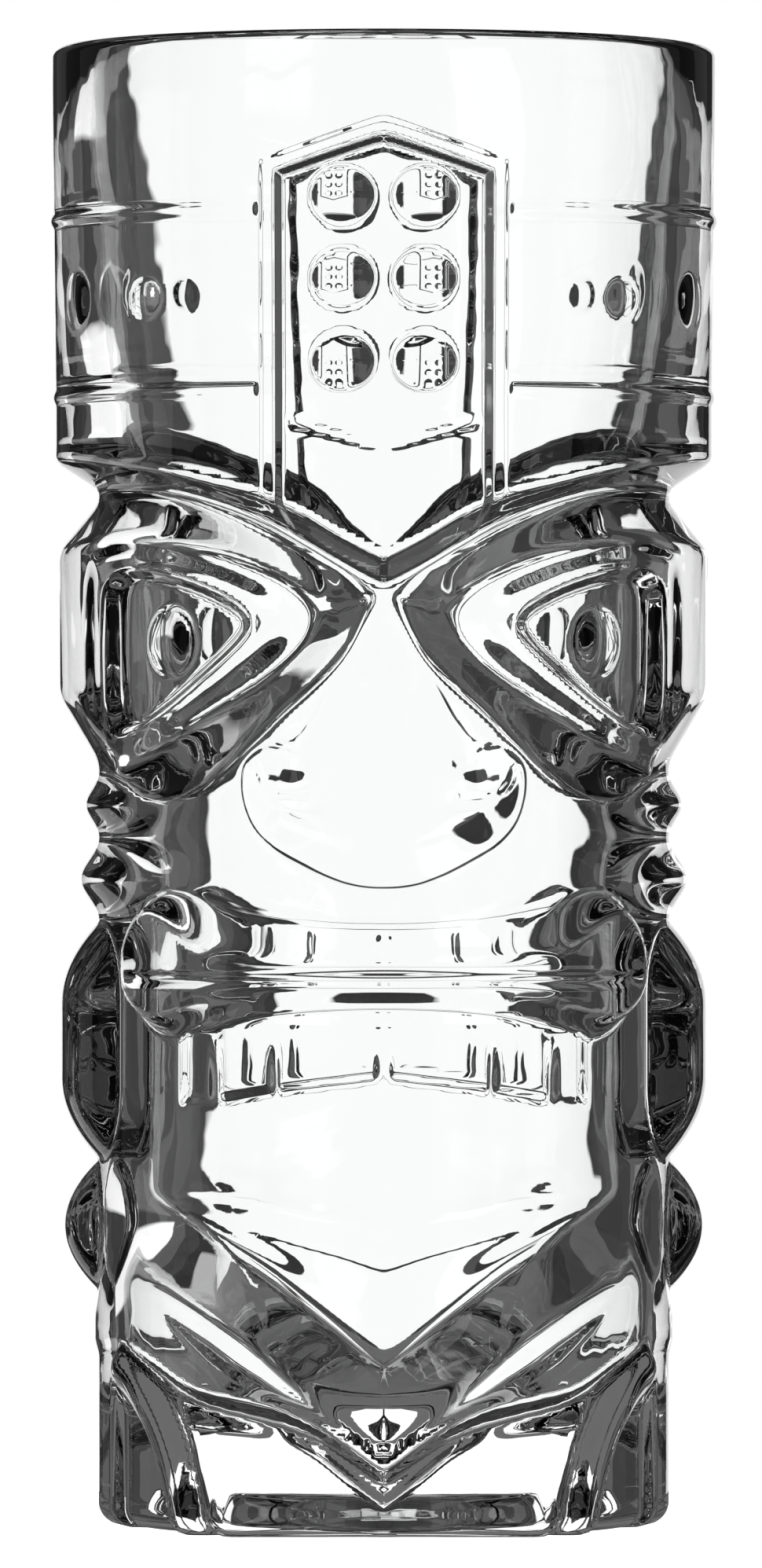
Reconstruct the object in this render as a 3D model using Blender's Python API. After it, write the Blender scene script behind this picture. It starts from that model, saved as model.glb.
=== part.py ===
"""Tiki tumbler in clear pressed glass, in one piece.

The wall is a turned shell whose outside carries a carved face. The face is drawn on the unrolled
wall as (across, up) in millimetres: across is measured round the wall from the middle of the
face, up is the height above the table. One half face is repeated four times round the glass,
because a two-part mould gives the front and the back the same face.
"""
import math

import bpy
import numpy as np

MM = 0.001

# Driving dimensions, millimetres
HEIGHT = 165.0
RIM_RADIUS = 37.1
CROWN_RADIUS = 36.7
CROWN_TAPER_FROM = 125.0
CROWN_TAPER_TO = 160.0
CORE_RADIUS = 31.9
EYE_RADIUS = 36.3
TIP_SHRINK = 1.25
NOSE_TIP_RADIUS = 34.0
MUZZLE_RADIUS = 34.1
LIP_CORNER = 0.5
COLLAR_RADIUS = 34.7
INSTEP = 30.0
FOOT_CORNER = 36.4
ARCH_DEPTH = 1.5
NECK_DEPTH = 1.8
NECK_SLOPE = 0.27
CHIN_SLOPE = 0.12
FACE_RADIUS = 35.0
SIDE = FACE_RADIUS * math.pi / 2
FOOT_ROUNDING = 2.4
LIP_RISE = 1.3
PUNT_RADIUS = 18.6
PUNT_DEPTH = 4.0
PUNT_SLOPE = 2.0
FLOOR_HEIGHT = 12.0
FLOOR_ROUNDING = 4.0

# Radius of the drink cavity at a few heights, floor to rim
CAVITY = ((FLOOR_HEIGHT, 25.6), (40, 26.1), (77, 26.3), (100, 27.6), (119, 28.6), (128, 30.9),
          (136, 31.3), (143, 31.6), (150, 32.3), (HEIGHT, 33.5))

# Resolution of the turned grid, and the share of its triangles that the part keeps
QUARTER_COLUMNS = 40
WALL_ROWS = 130
LIP_ROWS = 7
CAVITY_ROWS = 10
FLOOR_ROWS = 6
KEEP = 0.2

# Lines that run across the face, from its middle to the side of the glass
CROWN_EDGE = ((0, 107.6), (4.4, 110.3), (8, 112.7), (12.3, 114.6), (18.7, 116), (26.3, 117.6),
              (40, 119), (SIDE, 119.2))
BROW_GROOVE = ((0, 104.3), (4.4, 106.4), (8.1, 108.3), (11.5, 110), (17, 112.2), (24.8, 114.2),
               (38, 115.2), (SIDE, 114.8))
CHEEK_EDGE = ((0, 101.4), (1.5, 99.3), (4.6, 95.9), (8.3, 92.8), (11.9, 90), (15.9, 86.6),
              (19.6, 83.6), (23.3, 81.6), (28, 80.6), (36, 81.2), (45, 83), (SIDE, 84))
TOOTH_LINE = ((0, 50), (13, 48.5), (21.5, 47.3), (30, 46.8))
CHIN_TOP = ((0, 48.1), (7, 46.6), (14, 44.7), (20, 43.7), (28.3, 45.4), (40, 47))
CHIN_BOTTOM = ((0, 34.9), (3.3, 35.2), (9.3, 35.8), (16.4, 37), (30, 37.8), (SIDE, 38))
CHEST_TOP = ((0, 28.8), (4.8, 30.4), (9.5, 31.6), (16, 33.3), (24.7, 35.6), (30, 37), (SIDE, 37.4))
COLLAR_TOP = ((0, 19.2), (5, 23.3), (9.8, 26.7), (14.9, 29.9), (20.3, 32.4), (25.5, 34.6),
              (33, 34.6), (SIDE, 25.5))
COLLAR_CREST = ((0, 9.6), (3, 11.4), (8, 15.5), (16, 21.4), (21, 24.2), (30.7, 26.6), (SIDE, 22.3))
LEAF_BOTTOM = ((0, 10.2), (4.8, 11.6), (9.5, 13.1), (14, 15.4), (18.9, 18.4), (23.3, 21.3),
               (30, 25.2), (SIDE, 22))
COLLAR_BOTTOM = ((0, 5.6), (3.5, 8.1), (7.3, 10.6), (10.9, 12.1), (15.1, 13), (23.3, 14.6),
                 (30, 17.2), (37, 19), (SIDE, 18.6))

# Closed outlines on the half face
EYE_CREST = ((7.5, 100.5), (9, 103.3), (12.6, 105.5), (17.3, 107.3), (23.5, 108.7), (30, 109.4),
             (36.6, 109), (39.6, 106), (40, 96), (38.6, 87.4), (35.4, 84), (30.6, 84.2),
             (24.1, 87.5), (14.2, 93), (9, 97.2))
EYE_LID = ((13.8, 100), (16.6, 103), (24.3, 105.7), (31, 106.4), (35.6, 105.2), (36.7, 101),
           (36.4, 91.6), (34.6, 87.9), (31.4, 87.8), (24.3, 91), (16.6, 96.6))
EYE_PLATE = ((16.1, 100.3), (17.9, 101.8), (22.1, 103.5), (28, 104.7), (32.6, 104.3), (33.6, 100),
             (33.3, 92.4), (31.6, 89.7), (26.9, 91.6), (22.1, 94.6), (17.3, 98.2))
NOSE_HALF = ((0, 102), (2.2, 100.4), (4.2, 97.4), (6.6, 93.6), (8.8, 89.8), (11.4, 87.6),
             (15, 87), (17.4, 85), (17.7, 81.6), (16.4, 78), (14, 75.2), (10.8, 73.2),
             (7.2, 71.4), (3.6, 70.2), (0, 69.8))
MUZZLE_HALF = ((0, 68), (6, 68.2), (12.7, 69), (20, 70.3), (26.5, 71), (32, 70), (35.5, 66.4),
               (36.6, 62.2), (35.4, 58.4), (32, 55.8), (27.6, 54.4), (22, 54.2), (16.9, 55),
               (12, 56.3), (6, 57.1), (0, 57.4))
NOSTRIL_DENT = (9.4, 84.8, 2.3, 0.25)
NOSTRIL = ((15.4, 83.8), (14.4, 82.4), (12.6, 81.5), (10.4, 80.9), (8, 80.8))
INSTEP_SIDE = ((0, 18.3), (2.6, 18.9), (7.3, 20), (11.3, 21.2), (15, 23.5), (18.7, 27))
LEG_BACK = ((0, 28.6), (3.5, 29.0), (6.6, 30.4), (10.3, 32.5), (14.6, 35.3), (17, 37.5))
LEG_ARCH = ((24.6, -2), (25.2, 3), (26.9, 8), (29.6, 12.4), (33.4, 16), (38, 18.2))

# Raised ornaments: (across, up, radius, height)
DOME_ACROSS = 3.65
DOME_ROWS = (146.7, 137.7, 128.6)
DOME = (3.15, 1.38)
STUDS = ((27.0, 135.9, 2.2, 0.8), (40.5, 136.0, 3.3, 0.6))
PUPIL = (26.0, 98.2, 3.9, 1.3)
EAR = {"up": 54.0, "half_width": 15.5, "half_height": 13.2, "corner": 8.0, "slope": 9.0}
EAR_RADIUS = 36.05
PLUG = (SIDE, 33.3, 7.3, 3.8)
RINGS = ((145.4, 0.35), (125.7, 0.28))
RING_HALF_HEIGHT = 0.85
PANEL_HALF_WIDTH = 11.05
PANEL_PEAK = 153.6
PANEL_PITCH = 0.36
PANEL_HEIGHT = 1.2
SIDE_BEVEL = 1.45
ROOF_BEVEL = 1.35
PANEL_MARGIN = 1.65
PANEL_FOLD = ((0, 119.3), (9, 122.0), (12, 122.6))
FOLD_CREASE = (0.7, 0.3)
SIDE_ROLLS = ((80.3, 3.7, 1.45), (72.0, 4.7, 2.0))
TOOTH_GAPS = (0.0, 12.6, 20.6)
TOOTH_HEIGHT = 0.7


def ease(share):
    """Smooth step from 0 to 1 as share goes from 0 to 1."""
    share = np.clip(share, 0.0, 1.0)
    return share * share * (3.0 - 2.0 * share)


def ramp(share, rounding=0.3):
    """Straight slope from 0 to 1 with a rounded foot and a rounded crest."""
    share = np.clip(share, 0.0, 1.0)
    flat = 1.0 - rounding
    foot = share ** 2 / (2 * rounding * flat)
    middle = (share - rounding / 2) / flat
    crest = 1.0 - (1.0 - share) ** 2 / (2 * rounding * flat)
    return np.where(share < rounding, foot, np.where(share > flat, crest, middle))


def cap(share):
    """Height of a shallow spherical cap, 1 in its middle and 0 at share 1 of its radius."""
    return np.clip(1.0 - share ** 2, 0.0, 1.0)


def soft_cap(share):
    """The same cap with a small fillet round its foot."""
    height = 1.0 - share ** 2
    return 0.5 * (height + np.hypot(height, 0.08))


def roll(share):
    """Soft rounded ridge, 1 on its line and 0 at share 1 to either side."""
    return np.where(np.abs(share) < 1.0, 0.5 + 0.5 * np.cos(math.pi * np.clip(share, -1, 1)), 0.0)


def line_height(points, across):
    """Height and slope, at across, of the smooth line through the points."""
    x, y = np.array(points, float).T
    tangent = np.gradient(y, x)
    i = np.clip(np.searchsorted(x, across) - 1, 0, len(x) - 2)
    span = x[i + 1] - x[i]
    t = np.clip((across - x[i]) / span, 0.0, 1.0)
    start, end = y[i], y[i + 1]
    out, into = tangent[i] * span, tangent[i + 1] * span
    cubic = 2 * start - 2 * end + out + into
    square = -3 * start + 3 * end - 2 * out - into
    height = ((cubic * t + square) * t + out) * t + start
    slope = ((3 * cubic * t + 2 * square) * t + out) / span
    return height, slope


def above(points, across, up):
    """Distance above the line, negative below it."""
    height, slope = line_height(points, across)
    return (up - height) / np.hypot(1.0, slope)


def between(low, high, across, up):
    """Share of the way up from the low line to the high line."""
    bottom = line_height(low, across)[0]
    top = line_height(high, across)[0]
    return (up - bottom) / (top - bottom)


def spline(points, closed, steps=6):
    """Points along the smooth curve through the given points."""
    p = np.array(points, float)
    if closed:
        p = np.vstack((p[-1], p, p[0], p[1]))
    else:
        p = np.vstack((2 * p[0] - p[1], p, 2 * p[-1] - p[-2]))
    t = np.linspace(0, 1, steps, endpoint=False)[:, None]
    curve = []
    for a, b, c, d in zip(p, p[1:], p[2:], p[3:]):
        curve.append(0.5 * (2 * b + (c - a) * t + (2 * a - 5 * b + 4 * c - d) * t ** 2
                            + (3 * b - a - 3 * c + d) * t ** 3))
    curve = np.vstack(curve)
    return np.vstack((curve, curve[0] if closed else p[-2]))


def line_distance(curve, across, up):
    """Distance to a curve given as close points."""
    nearest = np.full(across.shape, 1e9)
    for (ax, ay), (bx, by) in zip(curve, curve[1:]):
        dx, dy = bx - ax, by - ay
        share = ((across - ax) * dx + (up - ay) * dy) / (dx * dx + dy * dy)
        share = np.clip(share, 0.0, 1.0)
        nearest = np.minimum(nearest, np.hypot(across - ax - share * dx, up - ay - share * dy))
    return nearest


def inside(outline, across, up):
    """Distance inside a closed outline, negative outside it."""
    curve = spline(outline, closed=True)
    within = np.zeros(across.shape, bool)
    for (ax, ay), (bx, by) in zip(curve, curve[1:]):
        if ay != by:
            crosses = (ay > up) != (by > up)
            within ^= crosses & (across < ax + (up - ay) * (bx - ax) / (by - ay))
    distance = line_distance(curve, across, up)
    return np.where(within, distance, -distance)


def loft(outer, inner):
    """Share of the way in from one outline to the next, from the distances inside both."""
    return np.clip(outer / np.maximum(outer - inner, 1e-6), 0.0, 1.0)


def mirrored(half):
    """Whole outline from the half that starts and ends on the face's middle line."""
    return half + tuple((-x, y) for x, y in reversed(half) if x > 0)


def inside_box(across, up, centre, half_size, corner):
    """Distance inside a rectangle with round corners, negative outside it."""
    dx = np.abs(across - centre[0]) - half_size[0] + corner
    dy = np.abs(up - centre[1]) - half_size[1] + corner
    outside = np.hypot(np.maximum(dx, 0), np.maximum(dy, 0))
    return corner - outside - np.minimum(np.maximum(dx, dy), 0)


def crown(across, up, base):
    """Radius of the head band, with its rings, studs, front panel and domes."""
    share = (up - CROWN_TAPER_FROM) / (CROWN_TAPER_TO - CROWN_TAPER_FROM)
    radius = CROWN_RADIUS + (RIM_RADIUS - CROWN_RADIUS) * np.clip(share, 0.0, 1.0)
    roof = (PANEL_PEAK - PANEL_PITCH * across - up) / math.hypot(1.0, PANEL_PITCH)
    panel = np.minimum(PANEL_HALF_WIDTH - across, roof)
    bevel = np.minimum((PANEL_HALF_WIDTH - across) / SIDE_BEVEL, roof / ROOF_BEVEL)
    beside = ease((-panel - PANEL_MARGIN) / 0.5)
    for height, proud in RINGS:
        radius = radius + proud * cap((up - height) / RING_HALF_HEIGHT) * beside
    radius = radius + 0.12 * ramp((panel + PANEL_MARGIN) / 0.5)
    radius = radius + PANEL_HEIGHT * ramp(bevel, 0.12)
    for height in DOME_ROWS:
        share = np.hypot(across - DOME_ACROSS, up - height) / DOME[0]
        radius = radius + DOME[1] * soft_cap(share)
    for place, height, size, proud in STUDS:
        radius = radius + proud * cap(np.hypot(across - place, up - height) / size)
    half, deep = FOLD_CREASE
    crease = roll(above(PANEL_FOLD, np.minimum(across, 12.0), up) / half)
    radius = radius - deep * crease * ease((PANEL_HALF_WIDTH - 1.5 - across) / 1.0)
    rise = ramp(between(BROW_GROOVE, CROWN_EDGE, across, up))
    return base + (radius - base) * rise


def eyes(across, up, base):
    """Radius of the brow and eye mass, with the sunk eye and its pupil."""
    below_brow = -above(BROW_GROOVE, across, up) / (5.0 + 2.2 * ease((across - 20.0) / 25.0))
    above_cheek = above(CHEEK_EDGE, across, up) / (4.4 + 5.6 * ease((across - 25.0) / 20.0))
    short = np.hypot(np.maximum(1.0 - below_brow, 0.0), np.maximum(1.0 - above_cheek, 0.0))
    crest = inside(EYE_CREST, across, up)
    rim = np.minimum(-above(BROW_GROOVE, across, up), above(CHEEK_EDGE, across, up))
    rim = rim - TIP_SHRINK * ease((5.0 - across) / 5.0)
    rise = loft(np.maximum(rim, 0.0), np.minimum(crest, 0.0))
    rise = rise + (1.0 - short - rise) * ease((across - 30.0) / 8.0)
    radius = base + (EYE_RADIUS - base) * ramp(rise, 0.25)
    lid = inside(EYE_LID, across, up)
    plate = inside(EYE_PLATE, across, up)
    radius = radius - 0.45 * ease(loft(crest, lid)) - 2.0 * ramp(loft(lid, plate))
    place, height, size, proud = PUPIL
    return radius + proud * cap(np.hypot(across - place, up - height) / size)


def nose(across, up, base):
    """Radius of the nose, fullest at its tip, with the crease over each nostril."""
    crest = NOSE_TIP_RADIUS - 1.2 * ease((up - 79.0) / 20.0)
    edge = inside(mirrored(NOSE_HALF), across, up)
    width = 6.5 + 2.5 * ease((80.0 - up) / 6.0)
    radius = base + (crest - base) * ramp(edge / width)
    crease = line_distance(spline(NOSTRIL, closed=False), across, up)
    place, height, size, deep = NOSTRIL_DENT
    dent = deep * cap(np.hypot(across - place, up - height) / size)
    return radius - 0.3 * roll(crease / 0.7) - dent


def muzzle(across, up, base):
    """Radius of the lips, with the mouth line between them."""
    edge = inside(mirrored(MUZZLE_HALF), across, up)
    middle = ease((30.0 - across) / 10.0)
    width = 2.2 + middle * (2.8 + 1.8 * ease((up - 58.0) / 6.0))
    level = MUZZLE_RADIUS + LIP_CORNER * ease((across - 14.0) / 10.0)
    radius = base + (level - base) * ramp(edge / width)
    mouth = np.clip((34.0 - across) / 2.0, 0.0, 1.0)
    return radius - 0.8 * roll((up - 61.2) / 0.8) * mouth


def teeth(across, up, base):
    """Radius of the row of lower teeth, with the notches between them."""
    row = np.minimum((up - line_height(TOOTH_LINE, across)[0]) / 1.4, (27.0 - across) / 3.0)
    row = ramp(np.minimum(row, (58.0 - up) / 2.0))
    notch = np.zeros(across.shape)
    for place in TOOTH_GAPS:
        notch = np.maximum(notch, roll((across - place) / 0.9))
    notch = notch * ease((55.0 - up) / 5.0)
    return base + TOOTH_HEIGHT * row * (1.0 - notch)


def facet_width(across):
    """Height of the V facet under the chin, millimetres."""
    return line_height(CHIN_BOTTOM, across)[0] - line_height(CHEST_TOP, across)[0]


def chin(across, up, base):
    """Radius of the chin, which ends below in a wide V facet."""
    below_lip = -above(CHIN_TOP, across, up) / 7.0
    facet = between(CHEST_TOP, CHIN_BOTTOM, across, up)
    fade = ease((36.0 - across) / 8.0)
    proud = CHIN_SLOPE * facet_width(across) * fade
    return base + proud * ramp(np.minimum(below_lip, facet), 0.2)


def neck(across, up, base):
    """Radius of the sunk throat between the chin and the collar."""
    under_chin = 1.0 - between(CHEST_TOP, CHIN_BOTTOM, across, up)
    over_collar = between(COLLAR_CREST, COLLAR_TOP, across, up)
    fade = ease((34.0 - across) / 14.0)
    shallow = NECK_SLOPE * facet_width(across)
    lower = 1.0 - between(COLLAR_TOP, CHEST_TOP, across, up)
    depth = shallow + (NECK_DEPTH - shallow) * ease(lower)
    return base - depth * ramp(np.minimum(under_chin, over_collar), 0.2) * fade


def collar(across, up, base):
    """Radius of the V-shaped collar under the chin."""
    fall = 1.0 - between(COLLAR_CREST, COLLAR_TOP, across, up)
    foot = above(COLLAR_BOTTOM, across, up) / 2.0
    level = base + (COLLAR_RADIUS - base) * (1.0 - 0.85 * ease((across - 20.0) / 22.0))
    leaf = between(LEAF_BOTTOM, COLLAR_CREST, across, up)
    hollow = 0.25 * roll(2 * leaf - 1) * ease((30.0 - across) / 8.0)
    return base + (level - base) * ramp(np.minimum(fall, foot), 0.2) - hollow


def instep(across, up, base):
    """Radius of the flat front of the foot, between its two corners."""
    flat = np.minimum(INSTEP / np.cos(np.minimum(across, 26.0) / FACE_RADIUS), FOOT_CORNER)
    edge = line_height(INSTEP_SIDE, up)[0]
    share = ease(-above(COLLAR_BOTTOM, across, up) / 2.0) * ease((edge + 4.5 - across) / 5.0)
    return base + (flat - base) * share


def legs(across, up, base):
    """Radius of the arched rib over each foot."""
    edge = line_distance(spline(LEG_ARCH, closed=False), across, up)
    rib = 2.6 * roll(edge / 4.2) * ease((42.0 - across) / 6.0)
    behind = np.minimum((across - line_height(LEG_BACK, up)[0]) / 2.0, (43.5 - across) / 2.0)
    hollow = ramp(np.minimum(behind, (17.0 - up) / 4.0))
    return base + rib * (1.0 - hollow) - ARCH_DEPTH * hollow


def sides(across, up, base):
    """Radius of the ear, the ear plug and the two rolls above the ear."""
    size = (EAR["half_width"], EAR["half_height"])
    edge = inside_box(across, up, (SIDE, EAR["up"]), size, EAR["corner"])
    ear = base + (EAR_RADIUS - base) * (1.0 - np.clip(1.0 - edge / EAR["slope"], 0.0, 1.0) ** 2)
    place, height, size, proud = PLUG
    plug = base + proud * cap(np.hypot(across - place, up - height) / size)
    radius = np.maximum(ear, plug)
    for height, half, proud in SIDE_ROLLS:
        radius = np.maximum(radius, base + proud * roll((up - height) / half)
                            * ease((across - 28.0) / 18.0))
    return radius


def wall_radius(across, up):
    """Radius of the outside of the wall, millimetres."""
    near_middle = np.hypot(across, 0.6) - 0.6
    base = np.full(across.shape, CORE_RADIUS)
    parts = [part(near_middle, up, base) for part in (crown, eyes, nose, muzzle, teeth, chin,
                                                      neck, collar, instep, legs, sides)]
    highest = parts[0]
    for radius in parts[1:]:
        highest = np.maximum(highest, radius)
    lowest = np.minimum.reduce(parts)
    return highest + np.minimum(lowest - base, 0.0)


def cavity_radius(up):
    """Radius of the drink cavity at a height above its floor's rounding."""
    return line_height(CAVITY, up)[0]


def quarter_rows():
    """Rows of (radius, height) for a quarter turn, from the foot's middle to the cavity's."""
    angle = np.linspace(0.0, math.pi / 2, QUARTER_COLUMNS + 1)
    across = FACE_RADIUS * angle
    ones = np.ones(angle.shape)
    rows = []
    for radius, height in ((PUNT_RADIUS - PUNT_SLOPE, PUNT_DEPTH), (PUNT_RADIUS, 0.0)):
        rows.append((radius * ones, height * ones))

    lip_half = (RIM_RADIUS - CAVITY[-1][1]) / 2
    lip_height = HEIGHT - LIP_RISE
    for height in np.linspace(0.0, lip_height, WALL_ROWS):
        up = height * ones
        radius = wall_radius(across, up)
        low = max(FOOT_ROUNDING - height, 0.0)
        inset = FOOT_ROUNDING - math.sqrt(FOOT_ROUNDING ** 2 - low ** 2)
        rows.append((radius - inset, up))

    lip_middle = (RIM_RADIUS + CAVITY[-1][1]) / 2
    for turn in np.linspace(0.0, math.pi, LIP_ROWS + 2)[1:-1]:
        rows.append(((lip_middle + lip_half * math.cos(turn)) * ones,
                     (lip_height + LIP_RISE * math.sin(turn)) * ones))

    corner = FLOOR_HEIGHT + FLOOR_ROUNDING
    for height in np.linspace(lip_height, corner, CAVITY_ROWS):
        rows.append((cavity_radius(np.array([height]))[0] * ones, height * ones))
    middle = cavity_radius(np.array([corner]))[0] - FLOOR_ROUNDING
    for turn in np.linspace(0.0, math.pi / 2, FLOOR_ROWS + 1)[1:]:
        rows.append(((middle + FLOOR_ROUNDING * math.cos(turn)) * ones,
                     (corner - FLOOR_ROUNDING * math.sin(turn)) * ones))
    return rows


def glass_mesh():
    """Closed mesh of the whole tumbler, front towards -Y."""
    rows = quarter_rows()
    columns = 4 * QUARTER_COLUMNS
    turn = 2 * math.pi * np.arange(columns) / columns
    step = np.arange(columns) % (2 * QUARTER_COLUMNS)
    quarter = np.minimum(step, 2 * QUARTER_COLUMNS - step)
    vertices = [(0.0, 0.0, rows[0][1][0] * MM)]
    for radius, height in rows:
        r, z = radius[quarter] * MM, height[quarter] * MM
        vertices.extend(zip(r * np.sin(turn), -r * np.cos(turn), z))
    vertices.append((0.0, 0.0, rows[-1][1][0] * MM))

    faces = []
    last = len(vertices) - 1
    top = 1 + (len(rows) - 1) * columns
    for i in range(columns):
        j = (i + 1) % columns
        faces.append((0, 1 + j, 1 + i))
        faces.append((last, top + i, top + j))
        for row in range(len(rows) - 1):
            low, high = 1 + row * columns, 1 + (row + 1) * columns
            faces.append((low + i, low + j, high + j, high + i))
    mesh = bpy.data.meshes.new("glass_body")
    mesh.from_pydata([tuple(map(float, v)) for v in vertices], [], faces)
    mesh.update()
    mesh.shade_smooth()
    return mesh


def clear_glass():
    """Colourless soda-lime glass."""
    material = bpy.data.materials.new("clear_glass")
    material.use_nodes = True
    shader = material.node_tree.nodes["Principled BSDF"]
    shader.inputs["Base Color"].default_value = (0.93, 0.95, 0.95, 1.0)
    shader.inputs["Roughness"].default_value = 0.02
    shader.inputs["Metallic"].default_value = 0.0
    shader.inputs["IOR"].default_value = 1.51
    shader.inputs["Transmission Weight"].default_value = 1.0
    return material


def glass_body():
    """The tumbler, thinned to the triangles that its shape needs."""
    body = bpy.data.objects.new("glass_body", glass_mesh())
    body.data.materials.append(clear_glass())
    bpy.context.scene.collection.objects.link(body)
    thin = body.modifiers.new("thin", 'DECIMATE')
    thin.ratio = KEEP
    return body


for old in list(bpy.data.objects):
    bpy.data.objects.remove(old, do_unlink=True)
glass_body()
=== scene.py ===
"""Looks of the clear glass tiki tumbler: its fine surface, glass, floor, light and camera.

The face is drawn on the unrolled wall as (across, up) in millimetres, as in the CAD part: across
is measured round the wall from the middle of the face, up is the height above the table.
"""
import math

import bpy
import numpy as np
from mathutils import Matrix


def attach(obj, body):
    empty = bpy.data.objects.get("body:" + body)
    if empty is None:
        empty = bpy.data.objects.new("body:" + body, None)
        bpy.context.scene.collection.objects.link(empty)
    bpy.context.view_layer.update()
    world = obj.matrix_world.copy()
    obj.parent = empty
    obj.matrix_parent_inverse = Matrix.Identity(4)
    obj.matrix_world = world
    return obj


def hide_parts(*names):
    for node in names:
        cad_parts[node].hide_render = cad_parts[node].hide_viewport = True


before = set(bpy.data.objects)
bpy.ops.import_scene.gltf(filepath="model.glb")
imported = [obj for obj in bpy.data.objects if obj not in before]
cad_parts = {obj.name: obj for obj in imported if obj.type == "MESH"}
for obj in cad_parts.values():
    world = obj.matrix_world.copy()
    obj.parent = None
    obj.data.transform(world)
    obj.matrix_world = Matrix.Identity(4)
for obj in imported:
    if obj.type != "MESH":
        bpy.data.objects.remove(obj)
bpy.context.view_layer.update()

MM = 0.001

# Driving dimensions, millimetres
HEIGHT = 165.0
RIM_RADIUS = 37.1
CROWN_RADIUS = 36.7
CROWN_TAPER_FROM = 125.0
CROWN_TAPER_TO = 160.0
CORE_RADIUS = 31.9
EYE_RADIUS = 36.3
TIP_SHRINK = 1.25
NOSE_TIP_RADIUS = 34.0
MUZZLE_RADIUS = 34.1
LIP_CORNER = 0.5
COLLAR_RADIUS = 34.7
INSTEP = 30.0
FOOT_CORNER = 36.4
ARCH_DEPTH = 1.5
NECK_DEPTH = 1.8
NECK_SLOPE = 0.27
CHIN_SLOPE = 0.12
FACE_RADIUS = 35.0
SIDE = FACE_RADIUS * math.pi / 2
FOOT_ROUNDING = 2.4
LIP_RISE = 1.3
PUNT_RADIUS = 18.6
PUNT_DEPTH = 4.0
PUNT_SLOPE = 2.0
FLOOR_HEIGHT = 12.0
FLOOR_ROUNDING = 4.0

# Radius of the drink cavity at a few heights, floor to rim
CAVITY = ((FLOOR_HEIGHT, 25.6), (40, 26.1), (77, 26.3), (100, 27.6), (119, 28.6), (128, 30.9),
          (136, 31.3), (143, 31.6), (150, 32.3), (HEIGHT, 33.5))

# Steps of the fine grid: (from, to, steps), round the wall and up it
COLUMN_STEPS = ((0, 9.9, 36), (9.9, 13.9, 20), (13.9, 46, 60), (46, SIDE, 14))
ROW_STEPS = ((0, 2.4, 8), (2.4, 124.2, 240), (124.2, 127.2, 12), (127.2, 143.9, 34),
             (143.9, 156, 48), (156, 162, 6))
LIP_ROWS = 14
CAVITY_ROWS = 16
FLOOR_ROWS = 12

# Studio: metres, degrees and watts
CAMERA_DISTANCE = 1.4
CAMERA_UP = 0.0826
CAMERA_ACROSS = -0.0003
VIEW_HEIGHT = 0.1754
SCREEN_LEFT = 10.5
SCREEN_RIGHT = 17.0
SCREEN_MIDDLE = (SCREEN_RIGHT - SCREEN_LEFT) / 2
SCREEN_HALF = (SCREEN_RIGHT + SCREEN_LEFT) / 2
SCREEN_BOTTOM = -24.0
SCREEN_TOP = 16.0
TABLE_SCREEN_TURNS = (-45.0, 135.0)
TABLE_SCREEN_BOTTOM = -45.0
TABLE_SCREEN_TOP = -8.0
SCREEN_SOFT = 0.8
SCREEN_SOFT_TOP = 2.0
SCREEN_GLOW = 1.09
SIDE_SCREEN_TURN = -90.0
SIDE_SCREEN_SHARE = 0.4
STUDIO_GREYS = ((0.0, 0.03), (0.08, 0.05), (0.22, 0.11), (0.55, 0.045), (0.75, 0.08), (1.0, 0.04))
FLOOR_RADIUS = 0.25
FLOOR_GREY = 0.9
# Painted shade: a dark disc under the glass that only the glass sees, darkening what shows through
# its lower part
SHADE_DISC_RADIUS = 0.075
SHADE_DISC_GREY = 0.07
OVERHEAD_POWER = 60.0

# Lines that run across the face, from its middle to the side of the glass
CROWN_EDGE = ((0, 107.6), (4.4, 110.3), (8, 112.7), (12.3, 114.6), (18.7, 116), (26.3, 117.6),
              (40, 119), (SIDE, 119.2))
BROW_GROOVE = ((0, 104.3), (4.4, 106.4), (8.1, 108.3), (11.5, 110), (17, 112.2), (24.8, 114.2),
               (38, 115.2), (SIDE, 114.8))
CHEEK_EDGE = ((0, 101.4), (1.5, 99.3), (4.6, 95.9), (8.3, 92.8), (11.9, 90), (15.9, 86.6),
              (19.6, 83.6), (23.3, 81.6), (28, 80.6), (36, 81.2), (45, 83), (SIDE, 84))
TOOTH_LINE = ((0, 50), (13, 48.5), (21.5, 47.3), (30, 46.8))
CHIN_TOP = ((0, 48.1), (7, 46.6), (14, 44.7), (20, 43.7), (28.3, 45.4), (40, 47))
CHIN_BOTTOM = ((0, 34.9), (3.3, 35.2), (9.3, 35.8), (16.4, 37), (30, 37.8), (SIDE, 38))
CHEST_TOP = ((0, 28.8), (4.8, 30.4), (9.5, 31.6), (16, 33.3), (24.7, 35.6), (30, 37), (SIDE, 37.4))
COLLAR_TOP = ((0, 19.2), (5, 23.3), (9.8, 26.7), (14.9, 29.9), (20.3, 32.4), (25.5, 34.6),
              (33, 34.6), (SIDE, 25.5))
COLLAR_CREST = ((0, 9.6), (3, 11.4), (8, 15.5), (16, 21.4), (21, 24.2), (30.7, 26.6), (SIDE, 22.3))
LEAF_BOTTOM = ((0, 10.2), (4.8, 11.6), (9.5, 13.1), (14, 15.4), (18.9, 18.4), (23.3, 21.3),
               (30, 25.2), (SIDE, 22))
COLLAR_BOTTOM = ((0, 5.6), (3.5, 8.1), (7.3, 10.6), (10.9, 12.1), (15.1, 13), (23.3, 14.6),
                 (30, 17.2), (37, 19), (SIDE, 18.6))

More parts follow.
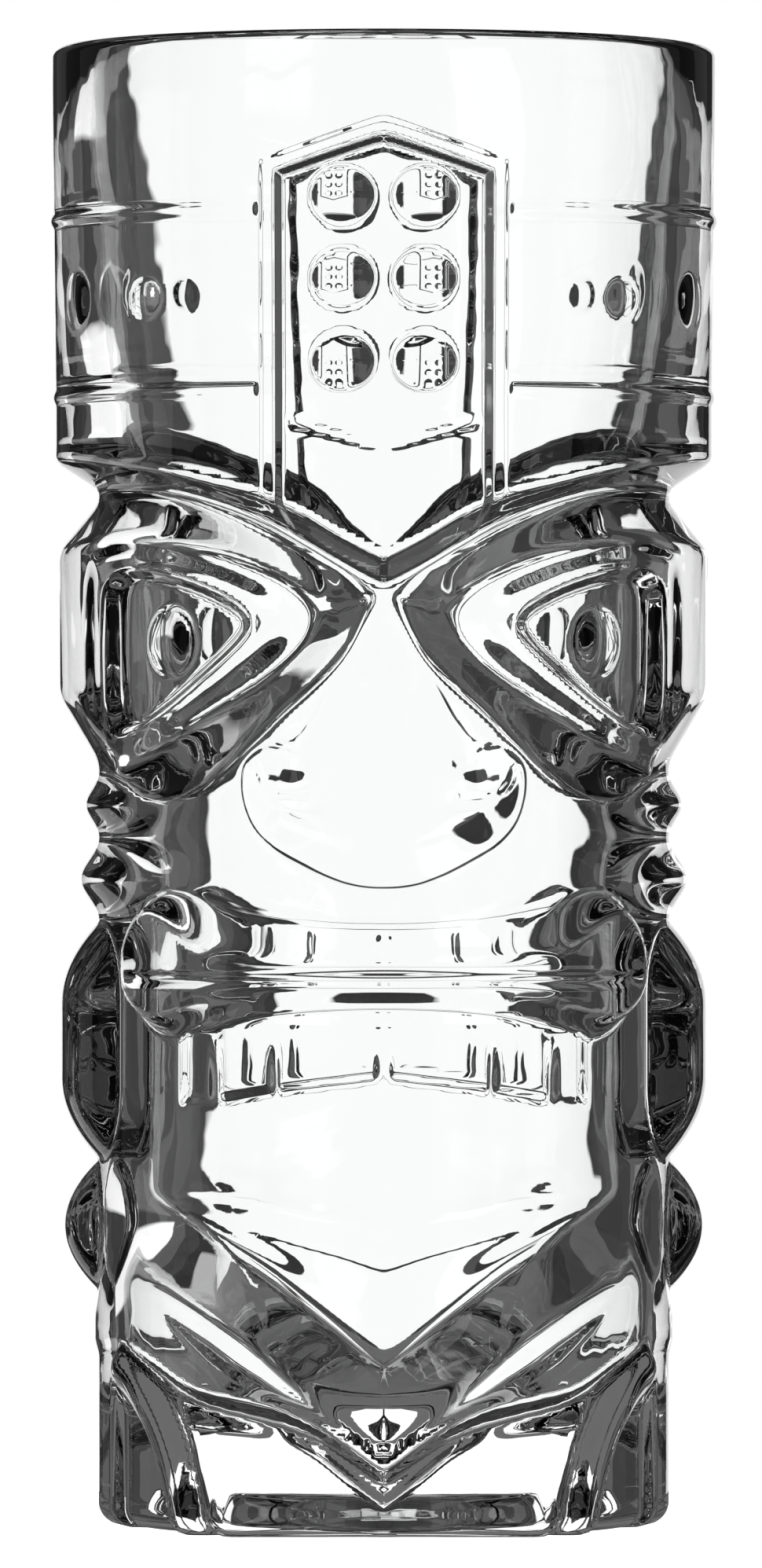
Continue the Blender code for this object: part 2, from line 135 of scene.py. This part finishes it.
# Closed outlines on the half face
EYE_CREST = ((7.5, 100.5), (9, 103.3), (12.6, 105.5), (17.3, 107.3), (23.5, 108.7), (30, 109.4),
             (36.6, 109), (39.6, 106), (40, 96), (38.6, 87.4), (35.4, 84), (30.6, 84.2),
             (24.1, 87.5), (14.2, 93), (9, 97.2))
EYE_LID = ((13.8, 100), (16.6, 103), (24.3, 105.7), (31, 106.4), (35.6, 105.2), (36.7, 101),
           (36.4, 91.6), (34.6, 87.9), (31.4, 87.8), (24.3, 91), (16.6, 96.6))
EYE_PLATE = ((16.1, 100.3), (17.9, 101.8), (22.1, 103.5), (28, 104.7), (32.6, 104.3), (33.6, 100),
             (33.3, 92.4), (31.6, 89.7), (26.9, 91.6), (22.1, 94.6), (17.3, 98.2))
NOSE_HALF = ((0, 102), (2.2, 100.4), (4.2, 97.4), (6.6, 93.6), (8.8, 89.8), (11.4, 87.6),
             (15, 87), (17.4, 85), (17.7, 81.6), (16.4, 78), (14, 75.2), (10.8, 73.2),
             (7.2, 71.4), (3.6, 70.2), (0, 69.8))
MUZZLE_HALF = ((0, 68), (6, 68.2), (12.7, 69), (20, 70.3), (26.5, 71), (32, 70), (35.5, 66.4),
               (36.6, 62.2), (35.4, 58.4), (32, 55.8), (27.6, 54.4), (22, 54.2), (16.9, 55),
               (12, 56.3), (6, 57.1), (0, 57.4))
NOSTRIL_DENT = (9.4, 84.8, 2.3, 0.25)
NOSTRIL = ((15.4, 83.8), (14.4, 82.4), (12.6, 81.5), (10.4, 80.9), (8, 80.8))
INSTEP_SIDE = ((0, 18.3), (2.6, 18.9), (7.3, 20), (11.3, 21.2), (15, 23.5), (18.7, 27))
LEG_BACK = ((0, 28.6), (3.5, 29.0), (6.6, 30.4), (10.3, 32.5), (14.6, 35.3), (17, 37.5))
LEG_ARCH = ((24.6, -2), (25.2, 3), (26.9, 8), (29.6, 12.4), (33.4, 16), (38, 18.2))

# Raised ornaments: (across, up, radius, height)
DOME_ACROSS = 3.65
DOME_ROWS = (146.7, 137.7, 128.6)
DOME = (3.15, 1.38)
STUDS = ((27.0, 135.9, 2.2, 0.8), (40.5, 136.0, 3.3, 0.6))
PUPIL = (26.0, 98.2, 3.9, 1.3)
EAR = {"up": 54.0, "half_width": 15.5, "half_height": 13.2, "corner": 8.0, "slope": 9.0}
EAR_RADIUS = 36.05
PLUG = (SIDE, 33.3, 7.3, 3.8)
RINGS = ((145.4, 0.35), (125.7, 0.28))
RING_HALF_HEIGHT = 0.85
PANEL_HALF_WIDTH = 11.05
PANEL_PEAK = 153.6
PANEL_PITCH = 0.36
PANEL_HEIGHT = 1.2
SIDE_BEVEL = 1.45
ROOF_BEVEL = 1.35
PANEL_MARGIN = 1.65
PANEL_FOLD = ((0, 119.3), (9, 122.0), (12, 122.6))
FOLD_CREASE = (0.7, 0.3)
SIDE_ROLLS = ((80.3, 3.7, 1.45), (72.0, 4.7, 2.0))
TOOTH_GAPS = (0.0, 12.6, 20.6)
TOOTH_HEIGHT = 0.7


def ease(share):
    """Smooth step from 0 to 1 as share goes from 0 to 1."""
    share = np.clip(share, 0.0, 1.0)
    return share * share * (3.0 - 2.0 * share)


def ramp(share, rounding=0.3):
    """Straight slope from 0 to 1 with a rounded foot and a rounded crest."""
    share = np.clip(share, 0.0, 1.0)
    flat = 1.0 - rounding
    foot = share ** 2 / (2 * rounding * flat)
    middle = (share - rounding / 2) / flat
    crest = 1.0 - (1.0 - share) ** 2 / (2 * rounding * flat)
    return np.where(share < rounding, foot, np.where(share > flat, crest, middle))


def cap(share):
    """Height of a shallow spherical cap, 1 in its middle and 0 at share 1 of its radius."""
    return np.clip(1.0 - share ** 2, 0.0, 1.0)


def soft_cap(share):
    """The same cap with a small fillet round its foot."""
    height = 1.0 - share ** 2
    return 0.5 * (height + np.hypot(height, 0.08))


def roll(share):
    """Soft rounded ridge, 1 on its line and 0 at share 1 to either side."""
    return np.where(np.abs(share) < 1.0, 0.5 + 0.5 * np.cos(math.pi * np.clip(share, -1, 1)), 0.0)


def line_height(points, across):
    """Height and slope, at across, of the smooth line through the points."""
    x, y = np.array(points, float).T
    tangent = np.gradient(y, x)
    i = np.clip(np.searchsorted(x, across) - 1, 0, len(x) - 2)
    span = x[i + 1] - x[i]
    t = np.clip((across - x[i]) / span, 0.0, 1.0)
    start, end = y[i], y[i + 1]
    out, into = tangent[i] * span, tangent[i + 1] * span
    cubic = 2 * start - 2 * end + out + into
    square = -3 * start + 3 * end - 2 * out - into
    height = ((cubic * t + square) * t + out) * t + start
    slope = ((3 * cubic * t + 2 * square) * t + out) / span
    return height, slope


def above(points, across, up):
    """Distance above the line, negative below it."""
    height, slope = line_height(points, across)
    return (up - height) / np.hypot(1.0, slope)


def between(low, high, across, up):
    """Share of the way up from the low line to the high line."""
    bottom = line_height(low, across)[0]
    top = line_height(high, across)[0]
    return (up - bottom) / (top - bottom)


def spline(points, closed, steps=6):
    """Points along the smooth curve through the given points."""
    p = np.array(points, float)
    if closed:
        p = np.vstack((p[-1], p, p[0], p[1]))
    else:
        p = np.vstack((2 * p[0] - p[1], p, 2 * p[-1] - p[-2]))
    t = np.linspace(0, 1, steps, endpoint=False)[:, None]
    curve = []
    for a, b, c, d in zip(p, p[1:], p[2:], p[3:]):
        curve.append(0.5 * (2 * b + (c - a) * t + (2 * a - 5 * b + 4 * c - d) * t ** 2
                            + (3 * b - a - 3 * c + d) * t ** 3))
    curve = np.vstack(curve)
    return np.vstack((curve, curve[0] if closed else p[-2]))


def line_distance(curve, across, up):
    """Distance to a curve given as close points."""
    nearest = np.full(across.shape, 1e9)
    for (ax, ay), (bx, by) in zip(curve, curve[1:]):
        dx, dy = bx - ax, by - ay
        share = ((across - ax) * dx + (up - ay) * dy) / (dx * dx + dy * dy)
        share = np.clip(share, 0.0, 1.0)
        nearest = np.minimum(nearest, np.hypot(across - ax - share * dx, up - ay - share * dy))
    return nearest


def inside(outline, across, up):
    """Distance inside a closed outline, negative outside it."""
    curve = spline(outline, closed=True)
    within = np.zeros(across.shape, bool)
    for (ax, ay), (bx, by) in zip(curve, curve[1:]):
        if ay != by:
            crosses = (ay > up) != (by > up)
            within ^= crosses & (across < ax + (up - ay) * (bx - ax) / (by - ay))
    distance = line_distance(curve, across, up)
    return np.where(within, distance, -distance)


def loft(outer, inner):
    """Share of the way in from one outline to the next, from the distances inside both."""
    return np.clip(outer / np.maximum(outer - inner, 1e-6), 0.0, 1.0)


def mirrored(half):
    """Whole outline from the half that starts and ends on the face's middle line."""
    return half + tuple((-x, y) for x, y in reversed(half) if x > 0)


def inside_box(across, up, centre, half_size, corner):
    """Distance inside a rectangle with round corners, negative outside it."""
    dx = np.abs(across - centre[0]) - half_size[0] + corner
    dy = np.abs(up - centre[1]) - half_size[1] + corner
    outside = np.hypot(np.maximum(dx, 0), np.maximum(dy, 0))
    return corner - outside - np.minimum(np.maximum(dx, dy), 0)


def crown(across, up, base):
    """Radius of the head band, with its rings, studs, front panel and domes."""
    share = (up - CROWN_TAPER_FROM) / (CROWN_TAPER_TO - CROWN_TAPER_FROM)
    radius = CROWN_RADIUS + (RIM_RADIUS - CROWN_RADIUS) * np.clip(share, 0.0, 1.0)
    roof = (PANEL_PEAK - PANEL_PITCH * across - up) / math.hypot(1.0, PANEL_PITCH)
    panel = np.minimum(PANEL_HALF_WIDTH - across, roof)
    bevel = np.minimum((PANEL_HALF_WIDTH - across) / SIDE_BEVEL, roof / ROOF_BEVEL)
    beside = ease((-panel - PANEL_MARGIN) / 0.5)
    for height, proud in RINGS:
        radius = radius + proud * cap((up - height) / RING_HALF_HEIGHT) * beside
    radius = radius + 0.12 * ramp((panel + PANEL_MARGIN) / 0.5)
    radius = radius + PANEL_HEIGHT * ramp(bevel, 0.12)
    for height in DOME_ROWS:
        share = np.hypot(across - DOME_ACROSS, up - height) / DOME[0]
        radius = radius + DOME[1] * soft_cap(share)
    for place, height, size, proud in STUDS:
        radius = radius + proud * cap(np.hypot(across - place, up - height) / size)
    half, deep = FOLD_CREASE
    crease = roll(above(PANEL_FOLD, np.minimum(across, 12.0), up) / half)
    radius = radius - deep * crease * ease((PANEL_HALF_WIDTH - 1.5 - across) / 1.0)
    rise = ramp(between(BROW_GROOVE, CROWN_EDGE, across, up))
    return base + (radius - base) * rise


def eyes(across, up, base):
    """Radius of the brow and eye mass, with the sunk eye and its pupil."""
    below_brow = -above(BROW_GROOVE, across, up) / (5.0 + 2.2 * ease((across - 20.0) / 25.0))
    above_cheek = above(CHEEK_EDGE, across, up) / (4.4 + 5.6 * ease((across - 25.0) / 20.0))
    short = np.hypot(np.maximum(1.0 - below_brow, 0.0), np.maximum(1.0 - above_cheek, 0.0))
    crest = inside(EYE_CREST, across, up)
    rim = np.minimum(-above(BROW_GROOVE, across, up), above(CHEEK_EDGE, across, up))
    rim = rim - TIP_SHRINK * ease((5.0 - across) / 5.0)
    rise = loft(np.maximum(rim, 0.0), np.minimum(crest, 0.0))
    rise = rise + (1.0 - short - rise) * ease((across - 30.0) / 8.0)
    radius = base + (EYE_RADIUS - base) * ramp(rise, 0.25)
    lid = inside(EYE_LID, across, up)
    plate = inside(EYE_PLATE, across, up)
    radius = radius - 0.45 * ease(loft(crest, lid)) - 2.0 * ramp(loft(lid, plate))
    place, height, size, proud = PUPIL
    return radius + proud * cap(np.hypot(across - place, up - height) / size)


def nose(across, up, base):
    """Radius of the nose, fullest at its tip, with the crease over each nostril."""
    crest = NOSE_TIP_RADIUS - 1.2 * ease((up - 79.0) / 20.0)
    edge = inside(mirrored(NOSE_HALF), across, up)
    width = 6.5 + 2.5 * ease((80.0 - up) / 6.0)
    radius = base + (crest - base) * ramp(edge / width)
    crease = line_distance(spline(NOSTRIL, closed=False), across, up)
    place, height, size, deep = NOSTRIL_DENT
    dent = deep * cap(np.hypot(across - place, up - height) / size)
    return radius - 0.3 * roll(crease / 0.7) - dent


def muzzle(across, up, base):
    """Radius of the lips, with the mouth line between them."""
    edge = inside(mirrored(MUZZLE_HALF), across, up)
    middle = ease((30.0 - across) / 10.0)
    width = 2.2 + middle * (2.8 + 1.8 * ease((up - 58.0) / 6.0))
    level = MUZZLE_RADIUS + LIP_CORNER * ease((across - 14.0) / 10.0)
    radius = base + (level - base) * ramp(edge / width)
    mouth = np.clip((34.0 - across) / 2.0, 0.0, 1.0)
    return radius - 0.8 * roll((up - 61.2) / 0.8) * mouth


def teeth(across, up, base):
    """Radius of the row of lower teeth, with the notches between them."""
    row = np.minimum((up - line_height(TOOTH_LINE, across)[0]) / 1.4, (27.0 - across) / 3.0)
    row = ramp(np.minimum(row, (58.0 - up) / 2.0))
    notch = np.zeros(across.shape)
    for place in TOOTH_GAPS:
        notch = np.maximum(notch, roll((across - place) / 0.9))
    notch = notch * ease((55.0 - up) / 5.0)
    return base + TOOTH_HEIGHT * row * (1.0 - notch)


def facet_width(across):
    """Height of the V facet under the chin, millimetres."""
    return line_height(CHIN_BOTTOM, across)[0] - line_height(CHEST_TOP, across)[0]


def chin(across, up, base):
    """Radius of the chin, which ends below in a wide V facet."""
    below_lip = -above(CHIN_TOP, across, up) / 7.0
    facet = between(CHEST_TOP, CHIN_BOTTOM, across, up)
    fade = ease((36.0 - across) / 8.0)
    proud = CHIN_SLOPE * facet_width(across) * fade
    return base + proud * ramp(np.minimum(below_lip, facet), 0.2)


def neck(across, up, base):
    """Radius of the sunk throat between the chin and the collar."""
    under_chin = 1.0 - between(CHEST_TOP, CHIN_BOTTOM, across, up)
    over_collar = between(COLLAR_CREST, COLLAR_TOP, across, up)
    fade = ease((34.0 - across) / 14.0)
    shallow = NECK_SLOPE * facet_width(across)
    lower = 1.0 - between(COLLAR_TOP, CHEST_TOP, across, up)
    depth = shallow + (NECK_DEPTH - shallow) * ease(lower)
    return base - depth * ramp(np.minimum(under_chin, over_collar), 0.2) * fade


def collar(across, up, base):
    """Radius of the V-shaped collar under the chin."""
    fall = 1.0 - between(COLLAR_CREST, COLLAR_TOP, across, up)
    foot = above(COLLAR_BOTTOM, across, up) / 2.0
    level = base + (COLLAR_RADIUS - base) * (1.0 - 0.85 * ease((across - 20.0) / 22.0))
    leaf = between(LEAF_BOTTOM, COLLAR_CREST, across, up)
    hollow = 0.25 * roll(2 * leaf - 1) * ease((30.0 - across) / 8.0)
    return base + (level - base) * ramp(np.minimum(fall, foot), 0.2) - hollow


def instep(across, up, base):
    """Radius of the flat front of the foot, between its two corners."""
    flat = np.minimum(INSTEP / np.cos(np.minimum(across, 26.0) / FACE_RADIUS), FOOT_CORNER)
    edge = line_height(INSTEP_SIDE, up)[0]
    share = ease(-above(COLLAR_BOTTOM, across, up) / 2.0) * ease((edge + 4.5 - across) / 5.0)
    return base + (flat - base) * share


def legs(across, up, base):
    """Radius of the arched rib over each foot."""
    edge = line_distance(spline(LEG_ARCH, closed=False), across, up)
    rib = 2.6 * roll(edge / 4.2) * ease((42.0 - across) / 6.0)
    behind = np.minimum((across - line_height(LEG_BACK, up)[0]) / 2.0, (43.5 - across) / 2.0)
    hollow = ramp(np.minimum(behind, (17.0 - up) / 4.0))
    return base + rib * (1.0 - hollow) - ARCH_DEPTH * hollow


def sides(across, up, base):
    """Radius of the ear, the ear plug and the two rolls above the ear."""
    size = (EAR["half_width"], EAR["half_height"])
    edge = inside_box(across, up, (SIDE, EAR["up"]), size, EAR["corner"])
    ear = base + (EAR_RADIUS - base) * (1.0 - np.clip(1.0 - edge / EAR["slope"], 0.0, 1.0) ** 2)
    place, height, size, proud = PLUG
    plug = base + proud * cap(np.hypot(across - place, up - height) / size)
    radius = np.maximum(ear, plug)
    for height, half, proud in SIDE_ROLLS:
        radius = np.maximum(radius, base + proud * roll((up - height) / half)
                            * ease((across - 28.0) / 18.0))
    return radius


def wall_radius(across, up):
    """Radius of the outside of the wall, millimetres."""
    near_middle = np.hypot(across, 0.6) - 0.6
    base = np.full(across.shape, CORE_RADIUS)
    parts = [part(near_middle, up, base) for part in (crown, eyes, nose, muzzle, teeth, chin,
                                                      neck, collar, instep, legs, sides)]
    highest = parts[0]
    for radius in parts[1:]:
        highest = np.maximum(highest, radius)
    lowest = np.minimum.reduce(parts)
    return highest + np.minimum(lowest - base, 0.0)


def cavity_radius(up):
    """Radius of the drink cavity at a height above its floor's rounding."""
    return line_height(CAVITY, up)[0]


def stepped(stretches):
    """Positions along stretches of (from, to, steps)."""
    places = [np.linspace(start, end, steps, endpoint=False) for start, end, steps in stretches]
    return np.append(np.concatenate(places), stretches[-1][1])


def quarter_rows(across):
    """Rows of (radius, height) for a quarter turn, from the foot's middle to the cavity's."""
    ones = np.ones(across.shape)
    rows = [((PUNT_RADIUS - PUNT_SLOPE) * ones * k, PUNT_DEPTH * ones) for k in (0.5, 1.0)]
    for turn in np.linspace(0.2, 1.0, 5):
        drop = PUNT_DEPTH * (1 - ease(turn))
        rows.append(((PUNT_RADIUS - PUNT_SLOPE * (1 - turn)) * ones, drop * ones))

    lip_half = (RIM_RADIUS - CAVITY[-1][1]) / 2
    lip_height = HEIGHT - LIP_RISE
    heights = stepped(ROW_STEPS)
    heights = np.append(heights[heights < lip_height - 0.3], lip_height)
    for height in heights:
        up = height * ones
        radius = wall_radius(across, up)
        low = max(FOOT_ROUNDING - height, 0.0)
        inset = FOOT_ROUNDING - math.sqrt(FOOT_ROUNDING ** 2 - low ** 2)
        rows.append((radius - inset, up))

    lip_middle = (RIM_RADIUS + CAVITY[-1][1]) / 2
    for turn in np.linspace(0.0, math.pi, LIP_ROWS + 2)[1:-1]:
        rows.append(((lip_middle + lip_half * math.cos(turn)) * ones,
                     (lip_height + LIP_RISE * math.sin(turn)) * ones))

    corner = FLOOR_HEIGHT + FLOOR_ROUNDING
    for height in np.linspace(lip_height, corner, CAVITY_ROWS):
        rows.append((cavity_radius(np.array([height]))[0] * ones, height * ones))
    middle = cavity_radius(np.array([corner]))[0] - FLOOR_ROUNDING
    for turn in np.linspace(0.0, math.pi / 2, FLOOR_ROWS + 1)[1:]:
        rows.append(((middle + FLOOR_ROUNDING * math.cos(turn)) * ones,
                     (corner - FLOOR_ROUNDING * math.sin(turn)) * ones))
    return rows


def glass_mesh():
    """Closed fine mesh of the whole tumbler, front towards -Y."""
    across = stepped(COLUMN_STEPS)
    rows = quarter_rows(across)
    steps = len(across) - 1
    columns = 4 * steps
    step = np.arange(columns) % (2 * steps)
    quarter = np.minimum(step, 2 * steps - step)
    half = np.arange(columns) // (2 * steps)
    angle = across[quarter] / FACE_RADIUS
    turn = np.where(step <= steps, angle, math.pi - angle) + math.pi * half
    points = [np.array([[0.0, 0.0, rows[0][1][0]]])]
    for radius, height in rows:
        r = radius[quarter]
        points.append(np.stack((r * np.sin(turn), -r * np.cos(turn), height[quarter]), axis=1))
    points.append(np.array([[0.0, 0.0, rows[-1][1][0]]]))
    points = np.concatenate(points) * MM

    faces = []
    last = len(points) - 1
    top = 1 + (len(rows) - 1) * columns
    for i in range(columns):
        j = (i + 1) % columns
        faces.append((0, 1 + j, 1 + i))
        faces.append((last, top + i, top + j))
        for row in range(len(rows) - 1):
            low, high = 1 + row * columns, 1 + (row + 1) * columns
            faces.append((low + i, low + j, high + j, high + i))
    mesh = bpy.data.meshes.new("glass_tumbler")
    mesh.from_pydata(points.tolist(), [], faces)
    mesh.update()
    mesh.shade_smooth()
    return mesh


def clear_glass():
    """Colourless pressed glass with the faint waves of its mould."""
    material = bpy.data.materials.new("clear_pressed_glass")
    material.use_nodes = True
    nodes, links = material.node_tree.nodes, material.node_tree.links
    shader = nodes["Principled BSDF"]
    shader.inputs["Base Color"].default_value = (0.995, 1.0, 0.998, 1.0)
    shader.inputs["IOR"].default_value = 1.5
    shader.inputs["Transmission Weight"].default_value = 1.0
    place = nodes.new("ShaderNodeTexCoord")
    waves = nodes.new("ShaderNodeTexNoise")
    waves.inputs["Scale"].default_value = 110.0
    waves.inputs["Detail"].default_value = 2.0
    links.new(place.outputs["Object"], waves.inputs["Vector"])
    bump = nodes.new("ShaderNodeBump")
    bump.inputs["Strength"].default_value = 1.0
    bump.inputs["Distance"].default_value = 0.00006
    links.new(waves.outputs["Fac"], bump.inputs["Height"])
    links.new(bump.outputs["Normal"], shader.inputs["Normal"])
    haze = nodes.new("ShaderNodeMapRange")
    haze.inputs["To Min"].default_value = 0.0
    haze.inputs["To Max"].default_value = 0.02
    links.new(waves.outputs["Fac"], haze.inputs["Value"])
    links.new(haze.outputs["Result"], shader.inputs["Roughness"])
    return material


def tumbler():
    """The fine glass piece that stands for the CAD body."""
    piece = bpy.data.objects.new("glass_tumbler", glass_mesh())
    piece.data.materials.append(clear_glass())
    bpy.context.scene.collection.objects.link(piece)
    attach(piece, "root")
    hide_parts("glass_body")
    piece.visible_shadow = False
    return piece


def math_node(nodes, links, operation, *values, clamp=False):
    """Output of a math node on the given values, each a number or another node's output."""
    node = nodes.new("ShaderNodeMath")
    node.operation = operation
    node.use_clamp = clamp
    for socket, value in zip(node.inputs, values):
        if isinstance(value, (int, float)):
            socket.default_value = value
        else:
            links.new(value, socket)
    return node.outputs[0]


def studio_world():
    """Dark studio that the glass sees, while the camera itself sees plain white.

    A bright low screen stands behind the glass for the front view. Two more serve the raised
    views and a weaker one the view from +X. The views from behind and from -X have none.
    """
    world = bpy.data.worlds.new("studio")
    world.use_nodes = True
    nodes, links = world.node_tree.nodes, world.node_tree.links
    nodes.clear()
    place = nodes.new("ShaderNodeTexCoord")
    split = nodes.new("ShaderNodeSeparateXYZ")
    links.new(place.outputs["Generated"], split.inputs[0])
    x, y, z = split.outputs

    def calc(operation, *values, **options):
        return math_node(nodes, links, operation, *values, **options)

    def edge(distance, softness):
        """1 where the distance in degrees is well above 0, 0 where it is well below."""
        return calc('MULTIPLY_ADD', distance, 1 / softness, 0.5, clamp=True)

    azimuth = calc('MULTIPLY', calc('ARCTAN2', x, y), 180 / math.pi)
    height = calc('MULTIPLY', calc('ARCSINE', z), 180 / math.pi)

    def screen(turn, bottom, top):
        """Share of a bright screen that stands in the direction turn."""
        side = calc('WRAP', calc('SUBTRACT', azimuth, turn), 180.0, -180.0)
        right = calc('SUBTRACT', SCREEN_RIGHT, side)
        left = calc('ADD', side, SCREEN_LEFT)
        over = calc('SUBTRACT', top, height)
        under = calc('SUBTRACT', height, bottom)
        across = edge(calc('MINIMUM', right, left), SCREEN_SOFT)
        return calc('MULTIPLY', across, edge(calc('MINIMUM', over, under), SCREEN_SOFT_TOP))

    quarter = calc('WRAP', azimuth, 45.0 + SCREEN_MIDDLE, -45.0 + SCREEN_MIDDLE)
    aside = calc('ABSOLUTE', calc('SUBTRACT', quarter, SCREEN_MIDDLE))
    beyond = calc('SUBTRACT', aside, SCREEN_HALF)
    stands = nodes.new("ShaderNodeValToRGB")
    stands.color_ramp.interpolation = 'CONSTANT'
    ramp_stops = stands.color_ramp.elements
    for place_on_ramp, grey in STUDIO_GREYS:
        stop = ramp_stops.new(place_on_ramp)
        stop.color = (grey, grey, grey, 1.0)
    ramp_stops.remove(ramp_stops[0])
    ramp_stops.remove(ramp_stops[-1])
    links.new(calc('MULTIPLY', beyond, 1 / 45.0), stands.inputs["Fac"])
    dark = stands.outputs["Color"]

    side_screen = screen(SIDE_SCREEN_TURN, SCREEN_BOTTOM, SCREEN_TOP)
    side_screen = calc('MULTIPLY', side_screen, SIDE_SCREEN_SHARE)
    bright = calc('MAXIMUM', screen(0.0, SCREEN_BOTTOM, SCREEN_TOP), side_screen)
    for turn in TABLE_SCREEN_TURNS:
        bright = calc('MAXIMUM', bright, screen(turn, TABLE_SCREEN_BOTTOM, TABLE_SCREEN_TOP))
    glow = calc('ADD', calc('MULTIPLY', bright, SCREEN_GLOW), dark)
    seen = nodes.new("ShaderNodeLightPath").outputs["Is Camera Ray"]
    glow = calc('MULTIPLY_ADD', glow, calc('SUBTRACT', 1.0, seen), seen)
    background = nodes.new("ShaderNodeBackground")
    background.inputs["Color"].default_value = (1.0, 1.0, 1.0, 1.0)
    links.new(glow, background.inputs["Strength"])
    output = nodes.new("ShaderNodeOutputWorld")
    links.new(background.outputs[0], output.inputs["Surface"])
    bpy.context.scene.world = world


def staging_disc(name, radius, height, grey):
    """Matt round disc that isn't part of the object."""
    mesh = bpy.data.meshes.new(name)
    turns = [2 * math.pi * i / 96 for i in range(96)]
    ring = [(radius * math.cos(t), radius * math.sin(t), height) for t in turns]
    mesh.from_pydata(ring, [], [tuple(range(96))])
    material = bpy.data.materials.new(name)
    material.use_nodes = True
    shader = material.node_tree.nodes["Principled BSDF"]
    shader.inputs["Base Color"].default_value = (grey, grey, grey, 1.0)
    shader.inputs["Roughness"].default_value = 0.9
    shader.inputs["Specular IOR Level"].default_value = 0.1
    mesh.materials.append(material)
    piece = bpy.data.objects.new(name, mesh)
    bpy.context.scene.collection.objects.link(piece)
    return piece


def floor():
    """Plain pale floor, not seen in or through the glass."""
    piece = staging_disc("floor", FLOOR_RADIUS, -0.0002, FLOOR_GREY)
    piece.visible_transmission = False
    piece.visible_glossy = False


def painted_shade_disc():
    """Dark disc close under the glass, that only the glass sees: painted shade, seen through the
    lower part of the glass where the floor would show.
    """
    piece = staging_disc("painted_shade_disc", SHADE_DISC_RADIUS, -0.0001, SHADE_DISC_GREY)
    piece.visible_camera = False
    piece.visible_diffuse = False
    piece.visible_shadow = False


def overhead_light():
    """Soft light over the table, not seen in the glass."""
    light = bpy.data.lights.new("overhead", 'AREA')
    light.shape = 'DISK'
    light.size = 1.6
    light.energy = OVERHEAD_POWER
    lamp = bpy.data.objects.new("overhead", light)
    lamp.location = (0.0, 0.0, 1.5)
    lamp.visible_glossy = False
    lamp.visible_transmission = False
    bpy.context.scene.collection.objects.link(lamp)


def camera():
    """Long lens, level with the middle of the glass."""
    data = bpy.data.cameras.new("camera")
    data.lens = 36.0 * CAMERA_DISTANCE / VIEW_HEIGHT
    data.clip_end = 50.0
    eye = bpy.data.objects.new("camera", data)
    eye.location = (CAMERA_ACROSS, -CAMERA_DISTANCE, CAMERA_UP)
    eye.rotation_euler = (math.pi / 2, 0.0, 0.0)
    bpy.context.scene.collection.objects.link(eye)
    bpy.context.scene.camera = eye


tumbler()
studio_world()
floor()
painted_shade_disc()
overhead_light()
camera()
bpy.context.scene.view_settings.view_transform = 'Standard'
